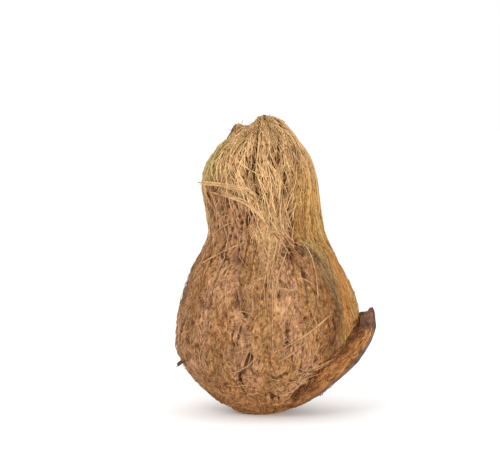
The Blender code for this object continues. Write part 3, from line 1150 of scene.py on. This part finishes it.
coat_tree = BVHTree.FromPolygons(
    [v.co for v in coat_piece.data.vertices], [tuple(p.vertices) for p in coat_piece.data.polygons]
)

# x and z of the strand's points in millimetres, how many strands lie together, how loosely, and how far
# they stand off the coat
LONG_STRANDS = (
    (((1.5, 129.0), (-2.0, 135.8), (-9.0, 140.6), (-21.7, 142.6), (-38.6, 144.4)), 10, 0.95, 2.6),
    (((-2.0, 131.4), (-10.0, 138.4), (-20.0, 141.2), (-36.5, 143.2)), 4, 0.7, 2.2),
    (((3.5, 121.0), (-1.5, 126.0), (-9.5, 132.0), (-18.0, 135.2), (-30.0, 138.6)), 7, 0.8, 2.2),
    (((-3.0, 128.0), (-10.0, 133.5), (-20.0, 137.0), (-28.0, 141.5)), 4, 0.8, 1.8),
    (((-44.5, 35.0), (-48.5, 33.0), (-51.4, 30.6)), 14, 0.8, 0.2),
    (((7.4, 108.0), (7.6, 85.0), (7.2, 62.0), (7.8, 39.0)), 3, 0.5, 1.3),
    (((-8.7, 109.1), (-22.0, 102.5), (-38.4, 93.6)), 4, 0.4, 1.2),
    (((18.0, 116.0), (26.0, 108.0), (31.0, 100.4), (34.0, 88.0), (34.7, 79.4), (36.0, 68.8)), 3, 0.4, 1.2),
    (((-15.0, 90.0), (-19.6, 83.0), (-20.0, 75.0), (-18.0, 67.0)), 5, 1.9, 0.8),
    (((-17.0, 71.0), (-14.0, 66.0), (-9.0, 64.0)), 3, 1.8, 0.7),
    (((-3.0, 88.0), (-6.0, 79.0), (-5.0, 70.0), (-7.5, 62.0)), 5, 1.9, 0.8),
    (((6.8, 93.0), (3.0, 89.5), (-4.0, 86.0), (-9.5, 80.0)), 4, 1.3, 0.9),
    (((9.9, 82.5), (16.0, 81.0), (21.7, 80.6)), 3, 0.4, 1.0),
    (((22.0, 87.0), (26.0, 86.5), (30.0, 84.5)), 3, 0.6, 1.0),
    (((6.2, 42.8), (20.0, 49.5), (34.0, 58.5), (42.8, 65.1)), 4, 0.45, 1.5),
    (((9.9, 37.8), (19.0, 42.5), (29.1, 50.8)), 3, 0.4, 1.2),
    (((24.0, 25.0), (34.0, 28.0), (45.0, 31.0)), 4, 0.8, 1.2),
    (((26.0, 31.0), (36.0, 33.5), (47.0, 38.5)), 5, 0.9, 1.2),
    (((8.0, 165.0), (2.0, 152.0), (6.0, 138.0), (8.0, 125.0)), 7, 1.6, 1.6),
    (((-12.0, 170.0), (-6.0, 158.0), (2.0, 145.0), (7.0, 132.0)), 8, 1.6, 1.6),
    (((-3.0, 172.0), (3.0, 160.0), (10.0, 147.0), (11.0, 133.0)), 8, 1.6, 1.6),
    (((17.0, 172.0), (16.0, 158.0), (13.0, 144.0), (11.0, 130.0)), 7, 1.6, 1.5),
    (((22.0, 160.0), (20.0, 147.0), (17.0, 134.0), (13.0, 122.0)), 7, 1.6, 1.5),
    (((28.0, 155.0), (27.0, 140.0), (25.0, 125.0)), 5, 1.4, 1.2),
)
BACK_STRANDS = (
    (((-6.0, 150.0), (-2.0, 128.0), (4.0, 108.0), (6.0, 88.0)), 6, 1.6, 1.4),
    (((14.0, 140.0), (8.0, 122.0), (2.0, 104.0), (-6.0, 84.0)), 6, 1.4, 1.4),
    (((-20.0, 118.0), (-30.0, 98.0), (-36.0, 76.0), (-33.0, 56.0)), 4, 0.8, 1.2),
    (((28.0, 96.0), (12.0, 84.0), (-4.0, 76.0), (-20.0, 72.0)), 3, 0.6, 1.4),
    (((-8.0, 62.0), (8.0, 50.0), (24.0, 44.0), (38.0, 46.0)), 3, 0.6, 1.3),
    (((-34.0, 44.0), (-22.0, 34.0), (-8.0, 28.0)), 4, 0.7, 1.2),
)
LONG_STEPS = 26


def long_strands(seed):
    """Strands through points given from the front, laid on the coat's front surface."""
    rng = np.random.default_rng(seed)
    rows = []
    routes = [(-1, *given) for given in LONG_STRANDS] + [(1, *given) for given in BACK_STRANDS]
    for facing, route, together, loose, stand_off in routes:
        for _ in range(together):
            start = rng.uniform(0, 0.12)
            end = rng.uniform(0.92, 1.0)
            share = np.linspace(start, end, LONG_STEPS)
            line = along_rows(np.array(route), share) * MM
            drift = rng.normal(0, 0.45 * loose, 2) * MM
            swing = rng.normal(0, 0.5 * loose * MM)
            phase = rng.uniform(0, 6.28)
            line = line + drift + swing * np.sin(share * 7 + phase)[:, None]
            depth = None
            points = []
            lift = stand_off * rng.uniform(0.5, 1.2) * MM
            for x, z in line:
                hit = coat_tree.ray_cast(Vector((x, facing * 0.2, z)), Vector((0, -facing, 0)))[0]
                if hit is not None and (depth is None or abs(hit.y + facing * lift - depth) < 4 * MM):
                    depth = hit.y + facing * lift
                points.append((x, depth if depth is not None else 0.0, z))
            points = np.array(points)
            ends = np.clip(4 * np.minimum(share - start, end - share) / (end - start), 0, 1)
            points[:, 1] -= facing * lift * 0.7 * (1 - ends) * (points[:, 0] > -26 * MM)
            for _ in range(2):
                points[1:-1, 1] = (points[:-2, 1] + 2 * points[1:-1, 1] + points[2:, 1]) / 4
            rows.append(points)
    points = np.stack(rows)
    count = len(points)
    normals = np.broadcast_to(np.array([0, -1.0, 0]), points.shape)
    on_tuft = smooth(105 * MM, 120 * MM, points[:, :, 2].mean(axis=1))
    thickness = rng.uniform(0.50, 0.95, count) * (0.68 + 0.32 * on_tuft) * MM
    tones = np.clip(rng.normal(0.66, 0.12, (count, 1)) + 0.14 * on_tuft[:, None], 0, 1)
    high = points[:, :, 2]
    nub = 1.0 * (points[:, :, 0] < -40 * MM) * (high < 40 * MM)
    tones = tones - 0.5 * nub
    values = {
        "straw": 0.55 + 0.35 * smooth(80 * MM, 120 * MM, high),
        "ochre": 0 * high,
        "ash": 0.9 * nub,
        "moss": 0 * high,
        "umber": 0.5 * nub,
    }
    return points, normals, thickness, tones, values


finish_strands(strand_piece("long_strands", *long_strands(91)))

SEAM_STRANDS = 125


def seam_strands(seed):
    """The broad bundle that gathers at the waist and thins out down the front of the nut."""
    rng = np.random.default_rng(seed)
    rows = []
    for _ in range(SEAM_STRANDS):
        top = rng.uniform(108, 150)
        pinch = rng.normal(6.0, 4.6)
        low = rng.uniform(54, 96) if rng.uniform() < 0.55 else rng.uniform(88, 108)
        route = np.array(
            (
                (pinch + (top - 112) * rng.normal(0.02, 0.28), top),
                (pinch + rng.normal(0, 2.4), (top + 112) / 2),
                (pinch + rng.normal(0, 1.6), 108.0),
                (0.4 * pinch + 1.6 + rng.normal(0, 3.0), (108 + low) / 2),
                (1.5 + rng.normal(0, 5.0), low),
            )
        )
        end = rng.uniform(0.45, 1.0)
        start = rng.uniform(0, end - 0.4)
        line = along_rows(route, np.linspace(start, end, SEAM_STEPS)) * MM
        lift = rng.uniform(0.1, 1.5) * MM
        points = []
        for x, z in line:
            hit = coat_tree.ray_cast(Vector((x, -0.2, z)), Vector((0, 1, 0)))[0]
            points.append((x, hit.y - lift, z))
        points = np.array(points)
        for _ in range(2):
            points[1:-1, 1] = (points[:-2, 1] + 2 * points[1:-1, 1] + points[2:, 1]) / 4
        rows.append(points)
    points = np.stack(rows)
    normals = np.broadcast_to(np.array([0, -1.0, 0]), points.shape)
    thickness = rng.uniform(0.40, 0.85, SEAM_STRANDS) * MM
    tones = np.clip(rng.normal(0.62, 0.18, (SEAM_STRANDS, 1)), 0, 1)
    high = points[:, :, 2]
    values = {"straw": 0.45 + 0.45 * smooth(80 * MM, 120 * MM, high)}
    for kind in ("ochre", "ash", "moss", "umber"):
        values[kind] = 0 * high
    return points, normals, thickness, tones, values


SEAM_STEPS = 16
finish_strands(strand_piece("seam_strands", *seam_strands(95)))


def stray_strands(seed, count):
    """Loose fibres all over that arch off the coat, with one end free."""
    rng = np.random.default_rng(seed)
    turn, share = coat.scatter(rng, count)
    z = height_at(share)
    loose = 1 - 0.6 * smooth(105 * MM, 135 * MM, z)
    heading = flow(turn, share) + rng.normal(0, 0.9, count) * loose + np.where(rng.uniform(0, 1, count) < 0.5, 0, math.pi)
    steps = 14
    length = rng.uniform(8, 30, count) * MM
    paths, heights = grow(coat, rng, turn, share, heading, length, steps, rng.normal(0, 28, count), 0.10)
    place = np.linspace(0, 1, steps)[None, :]
    arch = rng.gamma(1.2, 0.3 * MM, count)[:, None] * np.sin(math.pi * place)
    free = (rng.uniform(0, 1, count) < 0.08)[:, None] * rng.uniform(0.3, 1.0, count)[:, None] * MM * place**2
    lift = rng.uniform(0.3, 0.8, count)[:, None] * MM + np.minimum(arch, 0.6 * MM) + free
    lift *= 1 - 0.6 * (1 - smooth(4 * MM, 16 * MM, height_at(heights)))
    points, normals = coat.at(paths, heights, lift)
    points[:, :, 2] = np.maximum(points[:, :, 2], 0.4 * MM)
    thickness = rng.uniform(0.34, 0.60, count) * MM
    tones = np.clip(rng.normal(0.68, 0.15, (count, 1)), 0, 1)
    values = zones(paths, heights)
    values["straw"] = np.clip(values["straw"] + 0.3, 0, 1)
    return points, normals, thickness, tones, values


finish_strands(strand_piece("stray_strands", *stray_strands(101, 560)))


# ---- The table and the light ----------------------------------------------------------------------
# The coconut stands on a plain white table in a bright room: even light from all round and one broad
# lamp high on the left.

VIEW_TARGET = Vector((-0.0062, 0.0, 0.1130))
VIEW_DISTANCE = 1.5
VIEW_ELEVATION = math.radians(4.0)
VIEW_WIDTH = 0.310


def make_floor():
    bpy.ops.mesh.primitive_grid_add(x_subdivisions=8, y_subdivisions=8, size=12.0)
    floor = bpy.context.active_object
    floor.name = "table"
    material = bpy.data.materials.new("white table")
    material.use_nodes = True
    shader = material.node_tree.nodes["Principled BSDF"]
    shader.inputs["Base Color"].default_value = (0.93, 0.93, 0.93, 1)
    shader.inputs["Roughness"].default_value = 0.9
    shader.inputs["Emission Color"].default_value = (1, 1, 1, 1)
    shader.inputs["Emission Strength"].default_value = 0.12
    floor.data.materials.append(material)


def make_room():
    world = bpy.data.worlds.new("room")
    world.use_nodes = True
    tree = world.node_tree
    background = tree.nodes["Background"]
    background.inputs["Color"].default_value = (1, 1, 1, 1)
    background.inputs["Strength"].default_value = 1.0
    bpy.context.scene.world = world


def make_lamp(name, place, size, power):
    data = bpy.data.lights.new(name, "AREA")
    data.size = size
    data.energy = power
    lamp = bpy.data.objects.new(name, data)
    bpy.context.scene.collection.objects.link(lamp)
    lamp.location = place
    lamp.rotation_mode = "QUATERNION"
    lamp.rotation_quaternion = (Vector((0, 0, 0.09)) - Vector(place)).to_track_quat("-Z", "Y")


def make_camera():
    data = bpy.data.cameras.new("camera")
    data.lens = data.sensor_width * VIEW_DISTANCE / VIEW_WIDTH
    data.clip_start = 0.05
    data.clip_end = 50.0
    camera = bpy.data.objects.new("camera", data)
    bpy.context.scene.collection.objects.link(camera)
    back = Vector((0, -math.cos(VIEW_ELEVATION), math.sin(VIEW_ELEVATION)))
    camera.location = VIEW_TARGET + back * VIEW_DISTANCE
    camera.rotation_mode = "QUATERNION"
    camera.rotation_quaternion = (-back).to_track_quat("-Z", "Y")
    bpy.context.scene.camera = camera


make_floor()
make_room()
make_lamp("window", (-0.45, -1.1, 0.9), 0.6, 4.5)
make_lamp("fill", (0.35, -1.2, 0.10), 0.8, 13.0)
make_camera()
bpy.context.scene.view_settings.view_transform = "Standard"
